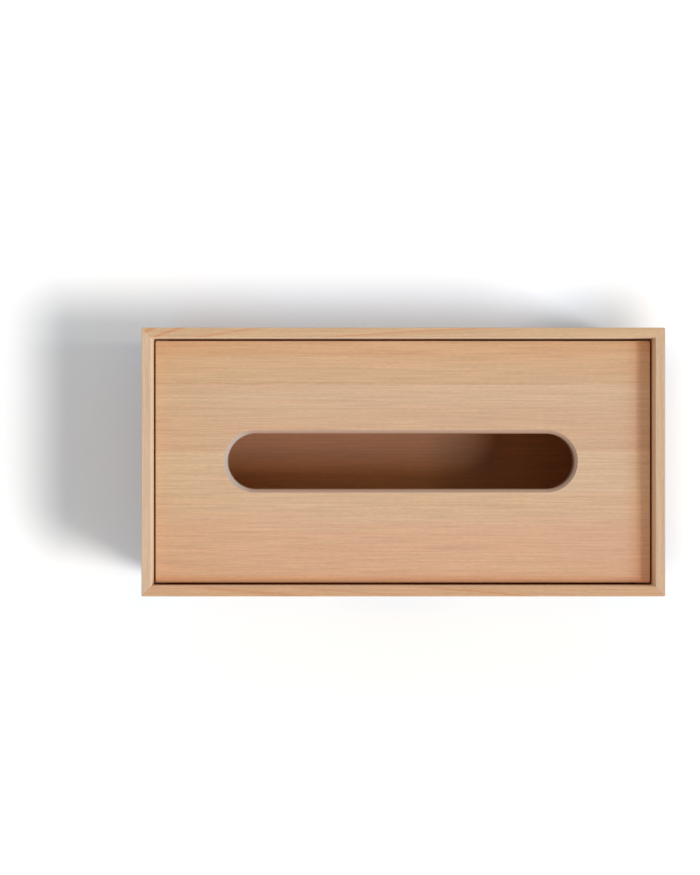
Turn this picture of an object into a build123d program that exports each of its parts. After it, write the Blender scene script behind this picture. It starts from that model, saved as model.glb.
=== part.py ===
from build123d import *
import os

os.makedirs("parts", exist_ok=True)

# Millimetres. +X runs right along the box, +Y to the back, +Z up.
# The origin is the middle of the underside, where the box rests on a table.

# Driving dimensions: the case
case_length = 265.0
case_depth = 136.0
case_height = 110.0
wall = 5.0
corner_round = 0.6
arris = 0.4
groove = 2.5

# Driving dimensions: the storeys, from the table up
bottom_thickness = 4.0
bay_height = 27.0
floor_thickness = 4.0
floor_stave = 33.0
floor_joint_y = 3.3

# Driving dimensions: the lid, set down in the top of the case
lid_recess = 9.7
lid_thickness = 8.0
lid_end_gap = 0.9
lid_side_gap = 1.2
lid_corner_round = 1.0
lid_arris = 0.4
back_stave = 22.5
lid_stave = 34.0
slot_length = 177.8
slot_width = 28.4
slot_x = -1.0
slot_y = 0.2
slot_chamfer = 1.7
slot_under_round = 0.8
ledge_width = 6.0
ledge_height = 8.0

# Driving dimensions: the stopped splines in the mitres
spline_width = 3.6
spline_thickness = 1.0
spline_along_mitre = 3.2
spline_above_floor = 3.0
spline_below_rim = 10.0

# Driving dimensions: the drawer
front_lift = 0.8
front_gap = 0.8
mitre_gap = 0.5
drawer_side_gap = 0.7
drawer_board = 5.0
drawer_side_height = 25.5
drawer_bottom_thickness = 3.0
drawer_bottom_lift = 2.5
drawer_groove = 2.0
side_housing = 1.5
side_past_back = 2.0
stop_length = 12.0
stop_depth = 6.0
stop_height = 12.0
pull_length = 60.0
pull_height = 13.0
pull_centre_z = 16.5
pull_chamfer = 1.0
bottom_front_gap = 0.4

# Worked out from the dimensions above
inner_length = case_length - 2 * wall
inner_depth = case_depth - 2 * wall
bay_floor = bottom_thickness
bay_top = bay_floor + bay_height
floor_top = bay_top + floor_thickness
lid_top = case_height - lid_recess
lid_bottom = lid_top - lid_thickness
lid_length = inner_length - 2 * lid_end_gap
lid_width = inner_depth - 2 * lid_side_gap

front_face = -case_depth / 2
front_inside = front_face + wall
back_inside = inner_depth / 2

spline_low = floor_top + spline_above_floor
spline_height = case_height - spline_below_rim - spline_low
spline_step = spline_along_mitre * 0.5**0.5
spline_x = inner_length / 2 + spline_step
spline_y = inner_depth / 2 + spline_step

drawer_half = inner_length / 2 - drawer_side_gap
drawer_inside = drawer_half - drawer_board
drawer_end = back_inside - stop_depth
drawer_back_face = drawer_end - side_past_back
drawer_bottom_low = bay_floor + drawer_bottom_lift
drawer_bottom_top = drawer_bottom_low + drawer_bottom_thickness
drawer_rim = bay_floor + drawer_side_height
drawer_front_height = bay_top - front_gap - front_lift

to_centre = (Align.CENTER, Align.CENTER, Align.MIN)
to_front = (Align.CENTER, Align.MIN, Align.MIN)

corners = {
    "front_left": (-1, -1),
    "front_right": (1, -1),
    "back_left": (-1, 1),
    "back_right": (1, 1),
}
sides = {"left": -1, "right": 1}


def save(piece, name):
    """Label a finished piece and write it to its own file."""
    piece.part.label = name
    export_step(piece.part, f"parts/{name}.step")


# ---- Shared cuts ----


def keep_between_mitres(run, across, along):
    """Keep one side of the case ring, between the 45 degree planes through its two corners.

    run is the case's outer size along the board, across the one square to it, and along
    the direction of the board that has the middle of the case on its left.
    """
    past = wall
    long_half = run / 2 + past
    short_half = run / 2 - 2 * wall
    outside = -across / 2 - past
    inside = -across / 2 + 2 * wall
    with BuildSketch(Plane(origin=(0, 0, 0), x_dir=along, z_dir=(0, 0, 1))) as between:
        with BuildLine():
            Polyline(
                (-long_half, outside),
                (long_half, outside),
                (short_half, inside),
                (-short_half, inside),
                close=True,
            )
        make_face()
    extrude(between.sketch, amount=case_height, mode=Mode.INTERSECT)


def cut_floor_groove():
    """Let the compartment floor into a board."""
    with Locations((0, 0, bay_top)):
        Box(
            inner_length + 2 * groove,
            inner_depth + 2 * groove,
            floor_thickness,
            align=to_centre,
            mode=Mode.SUBTRACT,
        )


def bottom_box(mode=Mode.ADD):
    """The bottom panel's block, let into the side and back walls and flush underneath."""
    with Locations((0, front_inside + bottom_front_gap, 0)):
        Box(
            inner_length + 2 * groove,
            inner_depth + groove - bottom_front_gap,
            bottom_thickness,
            align=to_front,
            mode=mode,
        )


def spline_box(side_x, side_y, mode=Mode.ADD):
    """A thin key square across one mitre."""
    with Locations(
        Location((side_x * spline_x, side_y * spline_y, spline_low), (0, 0, -45 * side_x * side_y))
    ):
        Box(spline_width, spline_thickness, spline_height, align=to_centre, mode=mode)


def cut_spline_slots():
    """Room for the keys at every corner that this board reaches."""
    for side_x, side_y in corners.values():
        spline_box(side_x, side_y, mode=Mode.SUBTRACT)


# ---- Case ----

# The four walls are cut from one ring, so their rounded corners and arrises run on.
with BuildPart() as case_ring:
    with BuildSketch():
        RectangleRounded(case_length, case_depth, corner_round)
        Rectangle(inner_length, inner_depth, mode=Mode.SUBTRACT)
    extrude(amount=case_height)
    fillet(faces().sort_by(Axis.Z)[-1].edges(), arris)

full_walls = {
    "back_wall": (case_length, case_depth, (-1, 0, 0)),
    "right_wall": (case_depth, case_length, (0, 1, 0)),
    "left_wall": (case_depth, case_length, (0, -1, 0)),
}

for name, (run, across, along) in full_walls.items():
    with BuildPart() as full_wall:
        add(case_ring.part)
        keep_between_mitres(run, across, along)
        cut_floor_groove()
        bottom_box(mode=Mode.SUBTRACT)
        cut_spline_slots()
    save(full_wall, name)

# The fixed front board stops at the top of the drawer bay.
with BuildPart() as front_wall:
    add(case_ring.part)
    keep_between_mitres(case_length, case_depth, (1, 0, 0))
    split(bisect_by=Plane.XY.offset(bay_top), keep=Keep.TOP)
    cut_floor_groove()
    cut_spline_slots()
    fillet(edges().group_by(Axis.Z)[0].sort_by(Axis.Y)[0], arris)
save(front_wall, "front_wall")

for corner, (side_x, side_y) in corners.items():
    with BuildPart() as spline:
        spline_box(side_x, side_y)
    save(spline, f"spline_{corner}")

with BuildPart() as bottom_panel:
    bottom_box()
save(bottom_panel, "bottom_panel")

# The compartment floor is edge-glued from staves that run the length of the box.
floor_length = inner_length + 2 * groove
floor_half = inner_depth / 2 + groove
floor_joints = [floor_joint_y - floor_stave, floor_joint_y, floor_joint_y + floor_stave]
floor_edges = [-floor_half, *floor_joints, floor_half]

for number in range(1, len(floor_edges)):
    front_edge = floor_edges[number - 1]
    back_edge = floor_edges[number]
    with BuildPart() as floor_board:
        with Locations((0, front_edge, bay_top)):
            Box(floor_length, back_edge - front_edge, floor_thickness, align=to_front)
    save(floor_board, f"floor_stave_{number}")

# Ledges on the end walls carry the lid.
for side, sign in sides.items():
    with BuildPart() as ledge:
        with Locations((sign * (inner_length - ledge_width) / 2, 0, lid_bottom - ledge_height)):
            Box(ledge_width, inner_depth, ledge_height, align=to_centre)
        fillet(edges().filter_by(Axis.Y).sort_by(SortBy.DISTANCE)[0], arris)
    save(ledge, f"lid_ledge_{side}")

# Blocks in the back corners of the bay stop the drawer with its front flush.
for side, sign in sides.items():
    with BuildPart() as stop:
        with Locations((sign * (inner_length - stop_length) / 2, drawer_end, bay_floor)):
            Box(stop_length, stop_depth, stop_height, align=to_front)
    save(stop, f"drawer_stop_{side}")

# ---- Lid ----

with BuildPart() as lid_panel:
    with BuildSketch(Plane.XY.offset(lid_bottom)):
        RectangleRounded(lid_length, lid_width, lid_corner_round)
        with Locations((slot_x, slot_y)):
            SlotOverall(slot_length, slot_width, mode=Mode.SUBTRACT)
    extrude(amount=lid_thickness)
    lid_face = faces().sort_by(Axis.Z)[-1]
    lid_under = faces().sort_by(Axis.Z)[0]
    chamfer(lid_face.inner_wires()[0].edges(), slot_chamfer)
    fillet(lid_under.inner_wires()[0].edges(), slot_under_round)
    fillet(faces().sort_by(Axis.Z)[-1].outer_wire().edges(), lid_arris)
    fillet(faces().sort_by(Axis.Z)[0].outer_wire().edges(), arris)

lid_half = lid_width / 2
first_joint = lid_half - back_stave
lid_edges = [lid_half, first_joint, first_joint - lid_stave, first_joint - 2 * lid_stave, -lid_half]

for number in range(1, len(lid_edges)):
    back_edge = lid_edges[number - 1]
    front_edge = lid_edges[number]
    with BuildPart() as lid_board:
        add(lid_panel.part)
        with Locations((0, front_edge, lid_bottom)):
            Box(
                case_length,
                back_edge - front_edge,
                lid_thickness,
                align=to_front,
                mode=Mode.INTERSECT,
            )
    save(lid_board, f"lid_stave_{number}")

# ---- Drawer ----


def drawer_side_box(sign, mode=Mode.ADD):
    """One side board, from its housing in the front to the stop block."""
    start = front_inside - side_housing
    with Locations((sign * (drawer_half - drawer_board / 2), start, bay_floor)):
        Box(drawer_board, drawer_end - start, drawer_side_height, align=to_front, mode=mode)


def drawer_bottom_box(mode=Mode.ADD):
    """The drawer's bottom, let into its front and sides and running under its back."""
    start = front_inside - drawer_groove
    with Locations((0, start, drawer_bottom_low)):
        Box(
            2 * (drawer_inside + drawer_groove),
            drawer_back_face - start,
            drawer_bottom_thickness,
            align=to_front,
            mode=mode,
        )


def drawer_back_box(mode=Mode.ADD):
    """The drawer's back, housed in both sides and standing on the bottom."""
    with Locations((0, drawer_back_face - drawer_board, drawer_bottom_top)):
        Box(
            2 * (drawer_inside + drawer_groove),
            drawer_board,
            drawer_rim - drawer_bottom_top,
            align=to_front,
            mode=mode,
        )


# The front's ends are mitred to lie against the side walls, with a hair of room.
with BuildPart() as drawer_front:
    outside_half = case_length / 2 - mitre_gap
    inside_half = outside_half - wall
    with BuildSketch(Plane.XY.offset(front_lift)):
        with BuildLine():
            Polyline(
                (-outside_half, front_face),
                (outside_half, front_face),
                (inside_half, front_inside),
                (-inside_half, front_inside),
                close=True,
            )
        make_face()
    extrude(amount=drawer_front_height)
    fillet(faces().sort_by(Axis.Y)[0].edges().filter_by(Axis.X), arris)
    with BuildSketch(Plane.XZ.offset(-front_face)):
        with Locations((0, pull_centre_z)):
            SlotOverall(pull_length, pull_height)
    extrude(amount=-wall, mode=Mode.SUBTRACT)
    chamfer(faces().sort_by(Axis.Y)[0].inner_wires()[0].edges(), pull_chamfer)
    chamfer(faces().sort_by(Axis.Y)[-1].inner_wires()[0].edges(), arris)
    for sign in sides.values():
        drawer_side_box(sign, mode=Mode.SUBTRACT)
    drawer_bottom_box(mode=Mode.SUBTRACT)
save(drawer_front, "drawer_front")

for side, sign in sides.items():
    with BuildPart() as drawer_side:
        drawer_side_box(sign)
        top_edges = faces().sort_by(Axis.Z)[-1].edges().filter_by(Axis.Y)
        fillet(top_edges, arris)
        drawer_bottom_box(mode=Mode.SUBTRACT)
        drawer_back_box(mode=Mode.SUBTRACT)
    save(drawer_side, f"drawer_side_{side}")

with BuildPart() as drawer_back:
    drawer_back_box()
save(drawer_back, "drawer_back")

with BuildPart() as drawer_bottom:
    drawer_bottom_box()
save(drawer_bottom, "drawer_bottom")
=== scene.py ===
import math

import bpy
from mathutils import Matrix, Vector


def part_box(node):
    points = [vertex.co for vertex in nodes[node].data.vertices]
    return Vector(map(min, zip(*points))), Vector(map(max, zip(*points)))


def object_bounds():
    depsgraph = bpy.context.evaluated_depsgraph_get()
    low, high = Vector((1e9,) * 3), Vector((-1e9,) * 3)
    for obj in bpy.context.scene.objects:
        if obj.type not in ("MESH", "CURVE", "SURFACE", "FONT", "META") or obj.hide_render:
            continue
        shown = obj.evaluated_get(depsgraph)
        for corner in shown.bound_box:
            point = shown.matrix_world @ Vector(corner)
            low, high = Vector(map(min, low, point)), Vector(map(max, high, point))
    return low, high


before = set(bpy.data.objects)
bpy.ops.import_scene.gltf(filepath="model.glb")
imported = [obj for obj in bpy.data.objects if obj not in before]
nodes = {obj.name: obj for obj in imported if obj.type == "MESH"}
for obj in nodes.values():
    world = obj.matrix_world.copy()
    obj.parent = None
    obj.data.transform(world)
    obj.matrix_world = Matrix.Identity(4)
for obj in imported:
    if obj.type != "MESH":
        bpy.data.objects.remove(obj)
cad_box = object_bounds()

# ---- The object's own places, from the frame ----

X, Y, Z = 0, 1, 2
MM = 1000.0

case_high = cad_box[1]
half_length = case_high.x
half_depth = case_high.y
rim = case_high.z


# ---- Colours, as sRGB levels from 0 to 255 ----


def linear(red, green, blue):
    """The linear colour of three sRGB levels."""
    levels = [level / 255 for level in (red, green, blue)]
    return [v / 12.92 if v <= 0.04045 else ((v + 0.055) / 1.055) ** 2.4 for v in levels]


# ---- Shader node helpers ----


class Graph:
    """Adds nodes to one shader tree, linking them as they are made."""

    def __init__(self, tree):
        self.tree = tree

    def add(self, kind, **settings):
        node = self.tree.nodes.new(kind)
        for name, value in settings.items():
            setattr(node, name, value)
        return node

    def feed(self, socket, value):
        """Link a socket, or set a plain number, vector or colour."""
        if isinstance(value, bpy.types.NodeSocket):
            self.tree.links.new(value, socket)
        elif hasattr(value, "__len__") and len(value) == 3 and socket.type == "RGBA":
            socket.default_value = (*value, 1.0)
        else:
            socket.default_value = value

    def math(self, operation, *values, clamp=False):
        node = self.add("ShaderNodeMath", operation=operation, use_clamp=clamp)
        for socket, value in zip(node.inputs, values):
            self.feed(socket, value)
        return node.outputs[0]

    def fade(self, value, low, high, to_low=0.0, to_high=1.0):
        """A smooth step from low to high."""
        node = self.add("ShaderNodeMapRange", interpolation_type="SMOOTHSTEP")
        for name, number in (
            ("Value", value),
            ("From Min", low),
            ("From Max", high),
            ("To Min", to_low),
            ("To Max", to_high),
        ):
            self.feed(node.inputs[name], number)
        return node.outputs["Result"]

    def mix(self, share, first, second, blend="MIX"):
        node = self.add("ShaderNodeMix", data_type="RGBA", blend_type=blend)
        self.feed(node.inputs[0], share)
        self.feed(node.inputs[6], first)
        self.feed(node.inputs[7], second)
        return node.outputs[2]

    def vector(self, *values):
        node = self.add("ShaderNodeCombineXYZ")
        for socket, value in zip(node.inputs, values):
            self.feed(socket, value)
        return node.outputs[0]

    def split(self, vector):
        node = self.add("ShaderNodeSeparateXYZ")
        self.feed(node.inputs[0], vector)
        return list(node.outputs)

    def noise(self, vector, detail=2.0, roughness=0.5):
        node = self.add("ShaderNodeTexNoise", noise_dimensions="3D", normalize=True)
        self.feed(node.inputs["Vector"], vector)
        node.inputs["Scale"].default_value = 1.0
        node.inputs["Detail"].default_value = detail
        node.inputs["Roughness"].default_value = roughness
        return node.outputs["Fac"]

    def curve(self, value, *stops):
        """A value read from a ramp of (place, height) stops."""
        node = self.add("ShaderNodeValToRGB")
        ramp = node.color_ramp
        ramp.interpolation = "EASE"
        while len(ramp.elements) < len(stops):
            ramp.elements.new(0.5)
        for element, (place, height) in zip(ramp.elements, stops):
            element.position = place
            element.color = (height, height, height, 1.0)
        self.feed(node.inputs[0], value)
        return node.outputs[0]

    def tones(self, value, stops):
        """A colour read at value from a list of (place, sRGB colour) stops."""
        first = stops[0][0]
        last = stops[-1][0]
        node = self.add("ShaderNodeValToRGB")
        ramp = node.color_ramp
        ramp.interpolation = "EASE"
        while len(ramp.elements) < len(stops):
            ramp.elements.new(0.5)
        for element, (place, colour) in zip(ramp.elements, stops):
            element.position = (place - first) / (last - first)
            element.color = (*linear(*colour), 1.0)
        self.feed(node.inputs[0], self.fade_straight(value, first, last))
        return node.outputs[0]

    def fade_straight(self, value, low, high):
        """A straight ramp from low to high."""
        return self.math("DIVIDE", self.math("SUBTRACT", value, low), high - low, clamp=True)

    def line(self, value, centre, half_width, strength=1.0):
        """A soft line where value is within half_width of centre."""
        full_part = 0.2
        off = self.math("ABSOLUTE", self.math("SUBTRACT", value, centre))
        return self.fade(off, half_width, half_width * full_part, 0.0, strength)


# ---- Wood ----

streak_tone = (203, 138, 101)
end_grain_tone = (203, 152, 110)
# Eased edges are paler: partly sanded wood, and partly a painted highlight along every rounded
# edge.
eased_edge_highlight_tone = (226, 192, 158)
glue_tone = (150, 100, 66)
end_grain_share = 0.45
eased_edge_highlight_share = 0.45
end_grain_loss = -0.10
least_roughness = 0.50
fibre_roughness = 0.16
end_grain_roughness = 0.12
bump_strength = 0.35
bump_distance = 0.00006
wood_ior = 1.45
wood_specular = 0.35


class Wood:
    """How one board was cut, and its colours.

    grain and radial are the axes along the fibres and out across the growth rings.
    pith is how far away the middle of the tree lies, in mm, along radial and along the
    third axis; pitch is the mean ring width; slope is how far the rings climb per mm of
    length, and drift how far they wander.
    """

    def __init__(self, name, grain, radial, pith, pitch, slope, drift, seed, **looks):
        self.name = name
        self.grain = grain
        self.radial = radial
        self.tangent = 3 - grain - radial
        self.pith = pith
        self.pitch = pitch
        self.slope = slope
        self.drift = drift
        self.seed = seed
        self.early = (212, 178, 145)
        self.late = (196, 146, 106)
        self.blush = (209, 165, 133)
        self.contrast = 0.35
        self.blush_share = 0.5
        self.fibre = 0.075
        self.banding = 0.25
        self.cool_band = (215, 182, 149)
        self.warm_band = (210, 161, 130)
        self.streaks = 0.25
        self.across_tones = None
        self.figure = None
        for key, value in looks.items():
            setattr(self, key, value)


def board_places(g):
    """The place in millimetres, and the way the surface faces, along X, Y and Z."""
    coordinates = g.add("ShaderNodeTexCoord")
    places = g.split(coordinates.outputs["Object"])
    in_mm = [g.math("MULTIPLY", place, MM) for place in places]
    normal = g.split(coordinates.outputs["Normal"])
    return in_mm, normal


def stretched_noise(g, wood, in_mm, along, across, offset, detail=2.0, roughness=0.5):
    """Noise drawn out along the fibres: along and across are its scales per mm."""
    seed_step = 7.31
    scales = [across, across, across]
    scales[wood.grain] = along
    moved = [
        g.math("MULTIPLY_ADD", place, scale, wood.seed * seed_step + offset + axis)
        for axis, (place, scale) in enumerate(zip(in_mm, scales))
    ]
    return g.noise(g.vector(*moved), detail, roughness)


def growth_rings(g, wood, in_mm):
    """0 in the early wood, up to 1 in the late wood of each ring."""
    away = g.math("SUBTRACT", in_mm[wood.radial], wood.pith[0])
    aside = g.math("SUBTRACT", in_mm[wood.tangent], wood.pith[1])
    radius = g.math(
        "SQRT", g.math("ADD", g.math("MULTIPLY", away, away), g.math("MULTIPLY", aside, aside))
    )
    wander = stretched_noise(g, wood, in_mm, 0.005, 0.02, 11.0)
    along = in_mm[wood.grain]
    radius = g.math("MULTIPLY_ADD", along, wood.slope, radius)
    radius = g.math("MULTIPLY_ADD", wander, wood.drift, radius)
    spread_scale = 0.35 / wood.pitch
    spread_turns = 2.2
    uneven = g.noise(g.vector(g.math("MULTIPLY", radius, spread_scale), wood.seed, 0.0), 1.0)
    turns = g.math("MULTIPLY_ADD", uneven, spread_turns, g.math("DIVIDE", radius, wood.pitch))
    phase = g.math("FRACT", turns)
    shape = g.curve(phase, (0.0, 0.0), (0.5, 0.12), (0.86, 1.0), (0.97, 0.55), (1.0, 0.0))
    ring = g.math("FLOOR", turns)
    strength = g.add("ShaderNodeTexWhiteNoise", noise_dimensions="1D")
    g.feed(strength.inputs["W"], g.math("ADD", ring, wood.seed))
    weakest = 0.3
    depth = g.math("MULTIPLY_ADD", strength.outputs["Value"], 1.0 - weakest, weakest)
    return g.math("MULTIPLY", shape, depth)


def edge_and_end_masks(g, wood, normal):
    """Where an edge is eased, and where the fibres are cut across."""
    sizes = [g.math("ABSOLUTE", part) for part in normal]
    largest = g.math("MAXIMUM", g.math("MAXIMUM", sizes[X], sizes[Y]), sizes[Z])
    eased = g.fade(largest, 0.99, 0.85)
    cut_across = g.fade(sizes[wood.grain], 0.55, 0.95)
    return eased, cut_across


def wood_surface(g, wood, in_mm, normal):
    """The colour, roughness and height of bare sanded softwood."""
    early = linear(*wood.early)
    if wood.across_tones:
        early = g.tones(in_mm[Y], wood.across_tones)

    broad = stretched_noise(g, wood, in_mm, 0.004, 0.07, 23.0, 3.0)
    blush = g.math("MULTIPLY", g.fade(broad, 0.35, 0.68), wood.blush_share)
    colour = g.mix(blush, early, linear(*wood.blush))

    bands = stretched_noise(g, wood, in_mm, 0.010, 0.32, 29.0, 2.0)
    colour = g.mix(g.fade(bands, 0.30, 0.48, wood.banding, 0.0), colour, linear(*wood.cool_band))
    colour = g.mix(g.fade(bands, 0.52, 0.70, 0.0, wood.banding), colour, linear(*wood.warm_band))

    rings = growth_rings(g, wood, in_mm)
    colour = g.mix(g.math("MULTIPLY", rings, wood.contrast), colour, linear(*wood.late))

    if wood.figure:
        drawn = wood.figure(g, in_mm)
        colour = g.mix(drawn, colour, linear(*wood.late))

    streak_noise = stretched_noise(g, wood, in_mm, 0.010, 0.75, 37.0, 2.0)
    streak = g.math("MULTIPLY", g.fade(streak_noise, 0.60, 0.74), wood.streaks)
    colour = g.mix(streak, colour, linear(*streak_tone))

    fibres = stretched_noise(g, wood, in_mm, 0.028, 1.25, 51.0, 2.0, 0.65)
    flecks = stretched_noise(g, wood, in_mm, 0.30, 1.9, 67.0, 1.0)
    fibre_light = g.fade(fibres, 0.30, 0.70, 1.0 - wood.fibre, 1.0 + wood.fibre)
    fleck_light = g.fade(flecks, 0.30, 0.70, 1.0 + wood.fibre * 0.5, 1.0 - wood.fibre * 0.5)
    light = g.math("MULTIPLY", fibre_light, fleck_light)

    eased, cut_across = edge_and_end_masks(g, wood, normal)
    light = g.math("MULTIPLY", light, g.math("MULTIPLY_ADD", cut_across, end_grain_loss, 1.0))
    end_share = g.math("MULTIPLY", cut_across, end_grain_share)
    colour = g.mix(end_share, colour, linear(*end_grain_tone))
    # Paler eased edges: partly sanded wood, partly painted highlight.
    edge_highlight_share = g.math("MULTIPLY", eased, eased_edge_highlight_share)
    colour = g.mix(edge_highlight_share, colour, linear(*eased_edge_highlight_tone))
    tint = g.vector(light, light, light)
    colour = g.mix(1.0, colour, tint, blend="MULTIPLY")

    roughness = g.math("MULTIPLY_ADD", fibres, fibre_roughness, least_roughness)
    roughness = g.math("MULTIPLY_ADD", cut_across, end_grain_roughness, roughness)
    height = g.math("MULTIPLY_ADD", rings, 0.5, fibres)
    return colour, roughness, height


def wood_material(wood, extra=None):
    """A material for one board. extra may tint or repaint parts of it by their place."""
    material = bpy.data.materials.new(wood.name)
    material.use_nodes = True
    tree = material.node_tree
    tree.nodes.clear()
    g = Graph(tree)
    in_mm, normal = board_places(g)
    colour, roughness, height = wood_surface(g, wood, in_mm, normal)
    if extra:
        colour = extra(g, in_mm, colour)

    bump = g.add("ShaderNodeBump")
    bump.inputs["Strength"].default_value = bump_strength
    bump.inputs["Distance"].default_value = bump_distance
    g.feed(bump.inputs["Height"], height)

    shader = g.add("ShaderNodeBsdfPrincipled")
    g.feed(shader.inputs["Base Color"], colour)
    g.feed(shader.inputs["Roughness"], roughness)
    g.feed(shader.inputs["Normal"], bump.outputs[0])
    shader.inputs["IOR"].default_value = wood_ior
    shader.inputs["Specular IOR Level"].default_value = wood_specular

    output = g.add("ShaderNodeOutputMaterial")
    tree.links.new(shader.outputs[0], output.inputs["Surface"])
    return material


# ---- Places that are painted on top of the plain wood, in mm ----
#
# These tones bring each place near its level in the photograph. Most are painted light and shade;
# the slot rim's grey, the late-wood figures and the glue lines are the wood's own colour.
# A tint is a factor on red, green and blue.

lid_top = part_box("lid_stave_1")[1].z * MM
inner_half_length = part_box("right_wall")[0].x * MM
inner_half_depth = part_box("back_wall")[0].y * MM
slot_centre_x = -1.0
slot_centre_y = 0.2
slot_half_straight = 74.7
slot_half_width = 14.2
slot_chamfer = 1.7

slot_upper_tone = (192, 159, 139)
slot_lower_painted_shade_tone = (158, 122, 98)
slot_left_painted_light_tone = (188, 172, 161)
slot_tone_share = 0.9

lid_edge_painted_shade_tint = (0.95, 0.86, 0.76)
lid_underside_tint = (1.45, 1.30, 0.85)
lid_left_painted_bounce_tint = (0.97, 0.965, 0.93)
lid_far_left_painted_shade_tint = (0.96, 0.97, 0.97)
lid_left_rim_painted_bounce_tint = (0.92, 0.87, 0.68)
lid_right_tint = (0.99, 0.985, 1.0)
lid_shaded_tint = (0.985, 0.87, 0.79)
lid_right_painted_bounce_tint = (1.32, 1.28, 1.22)
lid_painted_shadow_edge_tint = (0.82, 0.81, 0.80)
lid_front_painted_shade_tint = (1.03, 0.95, 0.86)
lid_shadow_edge_x = 120.9
lid_shadow_edge_half_width = 2.2

below_lid_painted_shade_tint = (1.03, 0.70, 0.45)
wall_foot_painted_light_tint = (1.35, 1.30, 1.10)
wall_foot_top = 78.0
wall_foot_fade = 4.0

lit_end_x = 32.0
dark_end_x = 62.0
light_border_x = 38.0
light_border_half_width = 28.0
light_border_painted_shade_tint = (0.78, 0.77, 0.74)
floor_front_painted_light_tint = (1.78, 1.60, 0.95)
floor_back_right_painted_light_tint = (1.10, 1.08, 1.05)
floor_right_painted_shade_tint = (1.42, 1.12, 0.55)


def slot_rim(g, in_mm, colour):
    """The slot's sawn and chamfered rim is greyer than the planed face, with painted shade low
    down in the slot and painted light on its lit left end.
    """
    along = g.math("SUBTRACT", in_mm[X], slot_centre_x)
    beyond = g.math("SUBTRACT", g.math("ABSOLUTE", along), slot_half_straight)
    beyond = g.math("MAXIMUM", beyond, 0.0)
    aside = g.math("SUBTRACT", in_mm[Y], slot_centre_y)
    reach = g.math(
        "SQRT", g.math("ADD", g.math("MULTIPLY", beyond, beyond), g.math("MULTIPLY", aside, aside))
    )
    outside = g.math("SUBTRACT", reach, slot_half_width + slot_chamfer)
    share = g.fade(outside, 0.12, 0.0, 0.0, slot_tone_share)
    # Painted light: the rim's left end, which faces the lamp, is paler and greyer.
    lit_left_end = g.fade(along, -slot_half_straight, -slot_half_straight - 8.0)
    # Painted shade: the rim is darker low down in the slot.
    shaded_low_part = g.fade(in_mm[Z], lid_top - 1.0, lid_top - 1.5)
    rim_colour = g.mix(shaded_low_part, linear(*slot_upper_tone), linear(*slot_lower_painted_shade_tone))
    rim_colour = g.mix(lit_left_end, rim_colour, linear(*slot_left_painted_light_tone))
    return g.mix(share, colour, rim_colour)


def tinted(g, share, colour, tint):
    """The colour times a tint, over a share of the surface."""
    return g.mix(share, colour, g.mix(1.0, colour, tint, blend="MULTIPLY"))


def lid_edges(g, in_mm, colour):
    """The lid's edges are painted deeper and redder than its face, as shade in the gap around it,
    and its underside is more orange.
    """
    # Painted shade on the lid's edges, which lie in the gap.
    gap_shade = g.fade(in_mm[Z], lid_top - 0.4, lid_top - 1.2)
    underside = g.fade(in_mm[Z], lid_top - 7.2, lid_top - 7.8)
    colour = tinted(g, gap_shade, colour, lid_edge_painted_shade_tint)
    return tinted(g, underside, colour, lid_underside_tint)


def lid_face(g, in_mm, colour):
    """The lid's face with painted light and shade: warm bounce and shade toward its left end, a
    faint cool shift to the right, shade and bounce light in the right wall's shadow strip, a
    shadow edge there, and shade along its front edge.
    """
    # Painted warm bounce light and shade toward the left end, near the left wall.
    colour = tinted(g, g.fade(in_mm[X], -60.0, -128.0), colour, lid_left_painted_bounce_tint)
    colour = tinted(g, g.fade(in_mm[X], -110.0, -126.0), colour, lid_far_left_painted_shade_tint)
    colour = tinted(g, g.fade(in_mm[X], -125.7, -126.2), colour, lid_left_rim_painted_bounce_tint)
    # A faint cool shift toward the right end.
    colour = tinted(g, g.fade(in_mm[X], 60.0, 110.0), colour, lid_right_tint)
    # Painted shade, then painted bounce light, in the strip that lies in the right wall's shadow.
    colour = tinted(g, g.fade(in_mm[X], 113.0, 121.0), colour, lid_shaded_tint)
    colour = tinted(g, g.fade(in_mm[X], 119.0, 122.4), colour, lid_right_painted_bounce_tint)
    # A painted shadow edge, stronger toward the back.
    shadow_edge_band = g.line(in_mm[X], lid_shadow_edge_x, lid_shadow_edge_half_width)
    shadow_edge_to_back = g.math("MULTIPLY", shadow_edge_band, g.fade(in_mm[Y], -60.0, 30.0))
    colour = tinted(g, shadow_edge_to_back, colour, lid_painted_shadow_edge_tint)
    # Painted shade along the front edge, below the front wall.
    front_shade_band = g.math("MULTIPLY", g.fade(in_mm[Y], -57.6, -59.6), g.fade(in_mm[X], 122.0, 115.0))
    colour = tinted(g, front_shade_band, colour, lid_front_painted_shade_tint)
    return lid_edges(g, in_mm, colour)


def lid_with_slot(g, in_mm, colour):
    """The lid's face, with the slot's rim painted over it."""
    return slot_rim(g, in_mm, lid_face(g, in_mm, colour))


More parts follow.
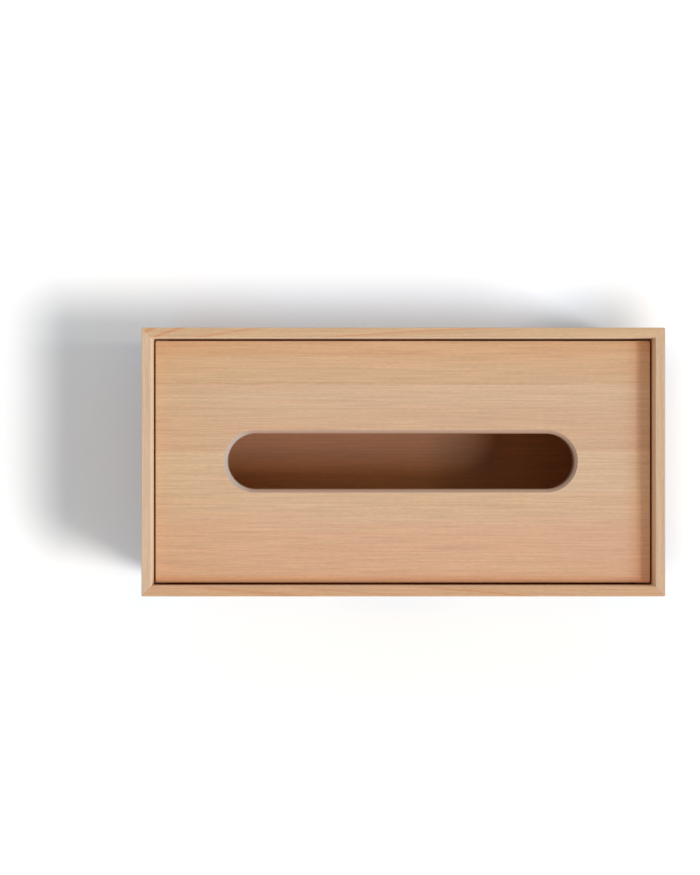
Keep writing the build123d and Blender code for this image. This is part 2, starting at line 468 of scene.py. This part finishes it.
def wall_faces(painted_lit_tone, painted_lit_share, painted_lit_depth):
    """One wall's inner face, painted: a pale lit strip near the rim, painted shade below it, and
    painted light again at its foot in the compartment.
    """

    def paint(g, in_mm, colour):
        past_end = g.math("SUBTRACT", g.math("ABSOLUTE", in_mm[X]), inner_half_length)
        past_side = g.math("SUBTRACT", g.math("ABSOLUTE", in_mm[Y]), inner_half_depth)
        inner = g.fade(g.math("MAXIMUM", past_end, past_side), 0.12, 0.05)
        painted_lit_end = rim * MM - painted_lit_depth
        foot_end = wall_foot_top - wall_foot_fade
        # Painted light: a pale lit strip near the rim, with painted shade below it.
        painted_shade_band = g.fade(in_mm[Z], painted_lit_end, painted_lit_end - 1.0)
        painted_lit_band = g.math("MULTIPLY", inner, g.math("SUBTRACT", 1.0, painted_shade_band))
        painted_shade_band = g.math("MULTIPLY", painted_shade_band, g.fade(in_mm[Z], foot_end, wall_foot_top))
        colour = g.mix(g.math("MULTIPLY", painted_lit_band, painted_lit_share), colour, linear(*painted_lit_tone))
        colour = tinted(g, g.math("MULTIPLY", inner, painted_shade_band), colour, below_lid_painted_shade_tint)
        # Painted light: lighter at the foot, in the compartment.
        foot = g.math("MULTIPLY", inner, g.fade(in_mm[Z], wall_foot_top, foot_end))
        colour = tinted(g, foot, colour, wall_foot_painted_light_tint)
        return mitre_line(g, in_mm, colour)

    return paint


def floor_painted_light_and_shade(g, in_mm, colour):
    """The compartment floor is painted with light and shade: a deeper orange to the right, where
    it lies in shade, lighter to the front and back right, and darker along the edge of the pool of
    light from the slot.
    """
    right = g.fade(in_mm[X], lit_end_x, dark_end_x)
    left = g.fade(in_mm[X], dark_end_x, lit_end_x)
    front = g.math("MULTIPLY", g.fade(in_mm[Y], 6.0, -11.0), left)
    back_right = g.math("MULTIPLY", right, g.fade(in_mm[Y], -2.0, 6.0))
    # Painted shade along the edge of the pool of light.
    light_border = g.line(in_mm[X], light_border_x, light_border_half_width)
    colour = tinted(g, light_border, colour, light_border_painted_shade_tint)
    # Painted light lifts the front and the back right; the right end gets the painted colour of
    # deep shade.
    colour = tinted(g, front, colour, floor_front_painted_light_tint)
    colour = tinted(g, back_right, colour, floor_back_right_painted_light_tint)
    return tinted(g, right, colour, floor_right_painted_shade_tint)


def back_figure(g, in_mm):
    """Late wood that sweeps across the back wall's edge, and runs along its faces."""
    sweep_start = 143.8
    reach = g.math("LOGARITHM", g.math("ADD", in_mm[X], sweep_start), math.e)
    level = g.math("MULTIPLY_ADD", g.math("SUBTRACT", in_mm[Y], inner_half_depth), -0.1216, reach)
    wobble = g.noise(g.vector(g.math("MULTIPLY", in_mm[X], 0.12), in_mm[Z], 4.0), 1.0)
    level = g.math("MULTIPLY_ADD", wobble, 0.10, level)
    below_rim = g.math("SUBTRACT", rim * MM, in_mm[Z])
    level = g.math("MULTIPLY_ADD", below_rim, -0.08, level)
    first = g.math("MAXIMUM", g.line(level, 2.31, 0.17, 0.75), g.line(level, 2.92, 0.13, 0.75))
    second = g.math("MAXIMUM", g.line(level, 3.74, 0.09, 0.55), g.line(level, 4.70, 0.07, 0.6))
    faint = g.fade(below_rim, 0.6, 9.0, 1.0, 0.3)
    return g.math("MULTIPLY", g.math("MAXIMUM", first, second), faint)


def front_figure(g, in_mm):
    """Fainter late wood that falls across the front wall's edge, and runs along its faces."""
    level = g.math("MULTIPLY_ADD", in_mm[X], 0.085, in_mm[Y])
    wobble = g.noise(g.vector(g.math("MULTIPLY", in_mm[X], 0.10), in_mm[Z], 9.0), 1.0)
    level = g.math("MULTIPLY_ADD", wobble, 1.2, level)
    below_rim = g.math("SUBTRACT", rim * MM, in_mm[Z])
    level = g.math("MULTIPLY_ADD", below_rim, 0.5, level)
    first = g.math("MAXIMUM", g.line(level, -61.7, 0.6, 0.85), g.line(level, -67.3, 0.6, 0.4))
    return g.math("MAXIMUM", first, g.line(level, -71.6, 1.0, 0.65))


def lid_figure(g, in_mm):
    """Two thin wavy lines of late wood in the back stave."""
    wave = g.noise(g.vector(g.math("MULTIPLY", in_mm[X], 0.06), 2.0, 6.0), 2.0)
    breaks = g.noise(g.vector(g.math("MULTIPLY", in_mm[X], 0.09), 5.0, 1.0), 2.0)
    strength = g.fade(breaks, 0.35, 0.6)
    level = g.math("MULTIPLY_ADD", wave, 2.4, in_mm[Y])
    lines = g.math("MAXIMUM", g.line(level, 57.2, 0.55, 0.4), g.line(level, 41.5, 0.6, 0.6))
    fainter = g.fade(in_mm[X], -60.0, 60.0, 1.0, 0.35)
    return g.math("MULTIPLY", g.math("MULTIPLY", lines, strength), fainter)


def mitre_line(g, in_mm, colour):
    """A hair of glue shows along each mitre but the back right one."""
    from_end = g.math("SUBTRACT", half_length * MM, g.math("ABSOLUTE", in_mm[X]))
    from_face = g.math("SUBTRACT", half_depth * MM, g.math("ABSOLUTE", in_mm[Y]))
    off_mitre = g.math("ABSOLUTE", g.math("SUBTRACT", from_end, from_face))
    share = g.fade(off_mitre, 0.28, 0.08, 0.0, 0.25)
    back_right = g.math("MINIMUM", in_mm[X], in_mm[Y])
    share = g.math("MULTIPLY", share, g.fade(back_right, 0.0, 1.0, 1.0, 0.0))
    return g.mix(share, colour, linear(*glue_tone))


# ---- The boards ----


def dress(wood, *names, extra=None):
    """Give these nodes one board's material."""
    material = wood_material(wood, extra)
    for name in names:
        nodes[name].data.materials.clear()
        nodes[name].data.materials.append(material)


dress(
    Wood("wood_back_wall", X, Y, (-146.0, 60.0), 2.1, -0.045, 3.0, 3.0, early=(207, 171, 133),
         late=(205, 139, 97), contrast=0.15, blush_share=0.15, streaks=0.1,
         warm_band=(208, 166, 130), figure=back_figure),
    "back_wall",
    extra=wall_faces((252, 230, 202), 1.0, 19.0),
)
dress(
    Wood("wood_front_wall", X, Y, (-220.0, 70.0), 2.4, 0.065, 4.0, 8.0, early=(205, 162, 123),
         late=(200, 140, 100), contrast=0.2, blush_share=0.3, blush=(206, 158, 121), streaks=0.1,
         figure=front_figure),
    "front_wall",
    "drawer_front",
    extra=wall_faces((255, 222, 188), 1.0, 10.0),
)
dress(
    Wood("wood_left_wall", Y, X, (-90.0, 50.0), 0.9, 0.004, 2.0, 5.0, early=(213, 182, 152),
         late=(204, 164, 130), contrast=0.35, blush_share=0.2, streaks=0.1,
         cool_band=(216, 188, 154), warm_band=(212, 172, 143)),
    "left_wall",
    extra=wall_faces((236, 214, 190), 0.9, 13.0),
)
dress(
    Wood("wood_right_wall", Y, X, (80.0, 40.0), 1.1, 0.006, 2.0, 12.0, early=(208, 178, 147),
         late=(202, 156, 118), contrast=0.3, blush_share=0.2, streaks=0.15,
         cool_band=(212, 182, 148), warm_band=(208, 168, 138)),
    "right_wall",
    extra=wall_faces((232, 193, 153), 1.0, 10.0),
)
dress(
    Wood("wood_lid_1", X, Y, (-420.0, 60.0), 1.15, 0.004, 3.0, 21.0, blush=(206, 160, 124),
         blush_share=0.25, contrast=0.22, figure=lid_figure,
         across_tones=[(39.3, (206, 170, 136)), (41.5, (208, 172, 137)), (52.0, (209, 171, 133)),
                       (57.0, (205, 164, 125)), (61.8, (198, 158, 119))]),
    "lid_stave_1",
    extra=lid_face,
)
dress(
    Wood("wood_lid_2", X, Y, (-380.0, 90.0), 1.05, -0.003, 3.0, 27.0, contrast=0.2,
         blush_share=0.25,
         across_tones=[(5.3, (207, 169, 137)), (14.0, (209, 172, 139)), (26.5, (208, 172, 139)),
                       (29.5, (210, 176, 143)), (39.3, (212, 178, 146))]),
    "lid_stave_2",
    extra=lid_with_slot,
)
dress(
    Wood("wood_lid_3", X, Y, (360.0, 70.0), 0.95, 0.003, 3.0, 33.0, contrast=0.2,
         blush_share=0.15,
         across_tones=[(-28.7, (212, 175, 141)), (-18.0, (212, 176, 141)),
                       (-14.0, (212, 179, 146)), (5.3, (213, 180, 146))]),
    "lid_stave_3",
    extra=lid_with_slot,
)
dress(
    Wood("wood_lid_4", X, Y, (400.0, 80.0), 1.1, -0.004, 3.0, 41.0, contrast=0.28,
         blush=(211, 164, 131), blush_share=0.3,
         across_tones=[(-61.8, (209, 164, 129)), (-56.0, (211, 169, 135)),
                       (-36.0, (213, 171, 138)), (-28.7, (213, 176, 144))]),
    "lid_stave_4",
    extra=lid_face,
)
for number in range(1, 5):
    dress(
        Wood(f"wood_floor_{number}", X, Y, (-300.0, 60.0), 1.3, 0.004, 3.0, 50.0 + number,
             early=(170, 117, 84), late=(154, 97, 65), blush=(162, 107, 77),
             blush_share=0.2, banding=0.1, cool_band=(170, 117, 83), warm_band=(163, 105, 72),
             streaks=0.1),
        f"floor_stave_{number}",
        extra=floor_painted_light_and_shade,
    )
dress(
    Wood("wood_bottom", X, Z, (-80.0, 10.0), 1.8, 0.006, 4.0, 61.0, early=(208, 172, 136)),
    "bottom_panel",
)
dress(
    Wood("wood_ledge", Y, Z, (10.0, 60.0), 1.4, 0.004, 2.0, 66.0, early=(210, 175, 141)),
    "lid_ledge_left",
    "lid_ledge_right",
    "drawer_stop_left",
    "drawer_stop_right",
)
dress(
    Wood("wood_drawer_side", Y, X, (60.0, 10.0), 1.5, 0.006, 3.0, 71.0, early=(211, 177, 143)),
    "drawer_side_left",
    "drawer_side_right",
)
dress(
    Wood("wood_drawer_back", X, Y, (0.0, 60.0), 1.6, 0.006, 3.0, 76.0, early=(210, 175, 140)),
    "drawer_back",
)
dress(
    Wood("wood_drawer_bottom", X, Z, (-70.0, 15.0), 1.9, 0.005, 4.0, 83.0, early=(211, 177, 143)),
    "drawer_bottom",
)
dress(
    Wood("wood_spline", Z, X, (40.0, 40.0), 1.0, 0.0, 1.0, 90.0, early=(190, 140, 100)),
    "spline_front_left",
    "spline_front_right",
    "spline_back_left",
    "spline_back_right",
)


# ---- Floor, light and camera ----

key_share = 0.405
key_slope = (0.695, -0.235)
key_width = 15.0
side_share = 0.11
side_slope = (1.0, -0.30)
side_width = 34.0
lamp_colour = (1.03, 1.0, 0.965)
zenith_light = 0.45
horizon_light = 0.28
horizon_power = 8.0
sky_colour = (0.94, 0.99, 1.035)
white = (1.0, 1.0, 1.0)

floor_half_size = 4.0
floor_seen = 1.07
floor_unseen = 0.85
table_beside_tint = (0.93, 0.955, 1.01)
table_before_tint = (0.905, 0.98, 1.04)
table_foot_painted_shade_tint = (0.77, 0.81, 0.84)
table_behind_tint = (1.0, 1.065, 1.15)
table_shade_tint = (0.46, 0.46, 0.46)
table_lift_tint = (1.07, 1.07, 1.07)

camera_sensor = 36.0
camera_lens = 65.1
camera_over_rim = 0.800
camera_x = -0.0270
camera_y = 0.0124


def table_colour(g):
    """White, tinted by place near the box to come near the photograph's table: cooler tints offset
    the wood's warm bounce light, and behind the box the white is lifted as painted light.

    The lamps leave the table behind the box's right end lit, so its shade is painted, and
    so is a band along the foot of the right wall.
    """
    path = g.add("ShaderNodeLightPath")
    level = g.fade(path.outputs["Is Camera Ray"], 0.0, 1.0, floor_unseen, floor_seen)
    places = g.split(g.add("ShaderNodeTexCoord").outputs["Object"])
    past_end = g.math("SUBTRACT", g.math("ABSOLUTE", places[X]), half_length)
    past_side = g.math("SUBTRACT", g.math("ABSOLUTE", places[Y]), half_depth)
    away = g.math("MAXIMUM", past_end, past_side)
    behind = g.fade(places[Y], half_depth - 0.005, half_depth + 0.003)
    before = g.fade(places[Y], -half_depth + 0.003, -half_depth - 0.005)
    beside = g.math("SUBTRACT", 1.0, g.math("ADD", behind, before))
    near = g.fade(away, 0.045, 0.005)
    colour = g.vector(level, level, level)
    # Cooler tints beside and before the box offset the wood's warm bounce light.
    colour = tinted(g, g.math("MULTIPLY", near, beside), colour, table_beside_tint)
    colour = tinted(g, g.math("MULTIPLY", near, before), colour, table_before_tint)

    past_right = g.fade(places[X], half_length, half_length + 0.001)
    across = g.math("ABSOLUTE", places[Y])
    right = g.math("MULTIPLY", past_right, g.fade(across, half_depth + 0.01, half_depth - 0.02))
    # Painted shade in a band along the foot of the right wall.
    foot = g.math("MULTIPLY", g.fade(past_end, 0.042, 0.014), right)
    colour = tinted(g, foot, colour, table_foot_painted_shade_tint)

    # A cooler tint behind the box offsets warm bounce light.
    far_behind = g.math("MULTIPLY", g.fade(away, 0.060, 0.020), behind)
    middle = g.math(
        "MULTIPLY", g.fade(places[X], -0.165, -0.055), g.fade(places[X], 0.140, 0.100)
    )
    colour = tinted(g, g.math("MULTIPLY", far_behind, middle), colour, table_behind_tint)

    # Painted shadow behind the box's right end.
    rise = g.fade(places[Y], half_depth - 0.012, half_depth + 0.010)
    rise = g.math("MULTIPLY", rise, g.fade(past_side, 0.048, -0.004))
    along = g.math("MULTIPLY", g.fade(places[X], 0.056, 0.112), g.fade(places[X], 0.166, 0.118))
    colour = tinted(g, g.math("MULTIPLY", rise, along), colour, table_shade_tint)

    # Far from the box this evenly lifts the white; behind the box it is painted light.
    lifted = g.math("MAXIMUM", g.fade(away, 0.060, 0.090), behind)
    return tinted(g, lifted, colour, table_lift_tint)


def white_floor():
    """A white floor that takes the object's shadow, with painted shade and tints by place near the
    box.
    """
    half = floor_half_size
    mesh = bpy.data.meshes.new("floor")
    corners = [(-half, -half, 0), (half, -half, 0), (half, half, 0), (-half, half, 0)]
    mesh.from_pydata(corners, [], [(0, 1, 2, 3)])
    floor = bpy.data.objects.new("floor", mesh)
    bpy.context.scene.collection.objects.link(floor)
    material = bpy.data.materials.new("floor_white")
    material.use_nodes = True
    tree = material.node_tree
    tree.nodes.clear()
    g = Graph(tree)
    shader = g.add("ShaderNodeBsdfDiffuse")
    g.feed(shader.inputs["Color"], table_colour(g))
    output = g.add("ShaderNodeOutputMaterial")
    tree.links.new(shader.outputs[0], output.inputs["Surface"])
    mesh.materials.append(material)


def soft_world():
    """A slightly cool surround, stronger near the horizon, and plain white where it is seen."""
    world = bpy.data.worlds.new("surround")
    bpy.context.scene.world = world
    world.use_nodes = True
    tree = world.node_tree
    tree.nodes.clear()
    g = Graph(tree)
    coordinates = g.add("ShaderNodeTexCoord")
    up = g.split(coordinates.outputs["Generated"])[Z]
    low = g.math("POWER", g.math("SUBTRACT", 1.0, g.math("MULTIPLY", up, up)), horizon_power)
    light = g.math("MULTIPLY_ADD", low, horizon_light, zenith_light)
    path = g.add("ShaderNodeLightPath")
    seen = g.math("MAXIMUM", path.outputs["Is Camera Ray"], path.outputs["Is Transmission Ray"])
    seen = g.math("MAXIMUM", seen, path.outputs["Is Glossy Ray"])
    unseen = g.math("SUBTRACT", 1.0, seen)
    background = g.add("ShaderNodeBackground")
    colour = g.mix(seen, sky_colour, white)
    g.feed(background.inputs["Color"], colour)
    g.feed(background.inputs["Strength"], g.math("MULTIPLY_ADD", unseen, light, seen))
    output = g.add("ShaderNodeOutputWorld")
    tree.links.new(background.outputs[0], output.inputs["Surface"])


def soft_sun(name, slope, width, share):
    """Light from the direction (slope x, slope y, 1), width degrees across.

    share is how much it adds to the level of a white face that looks straight up.
    """
    direction = Vector((slope[0], slope[1], 1.0))
    data = bpy.data.lights.new(name, "SUN")
    data.angle = math.radians(width)
    data.energy = share * math.pi * direction.length
    data.color = lamp_colour
    lamp = bpy.data.objects.new(name, data)
    bpy.context.scene.collection.objects.link(lamp)
    lamp.rotation_euler = direction.to_track_quat("Z", "Y").to_euler()


soft_sun("key", key_slope, key_width, key_share)
soft_sun("side", side_slope, side_width, side_share)
white_floor()
soft_world()

camera_data = bpy.data.cameras.new("camera")
camera_data.sensor_width = camera_sensor
camera_data.lens = camera_lens
camera = bpy.data.objects.new("camera", camera_data)
bpy.context.scene.collection.objects.link(camera)
camera.location = (camera_x, camera_y, rim + camera_over_rim)
camera.rotation_euler = (0.0, 0.0, 0.0)
bpy.context.scene.camera = camera
bpy.context.scene.view_settings.view_transform = "Standard"
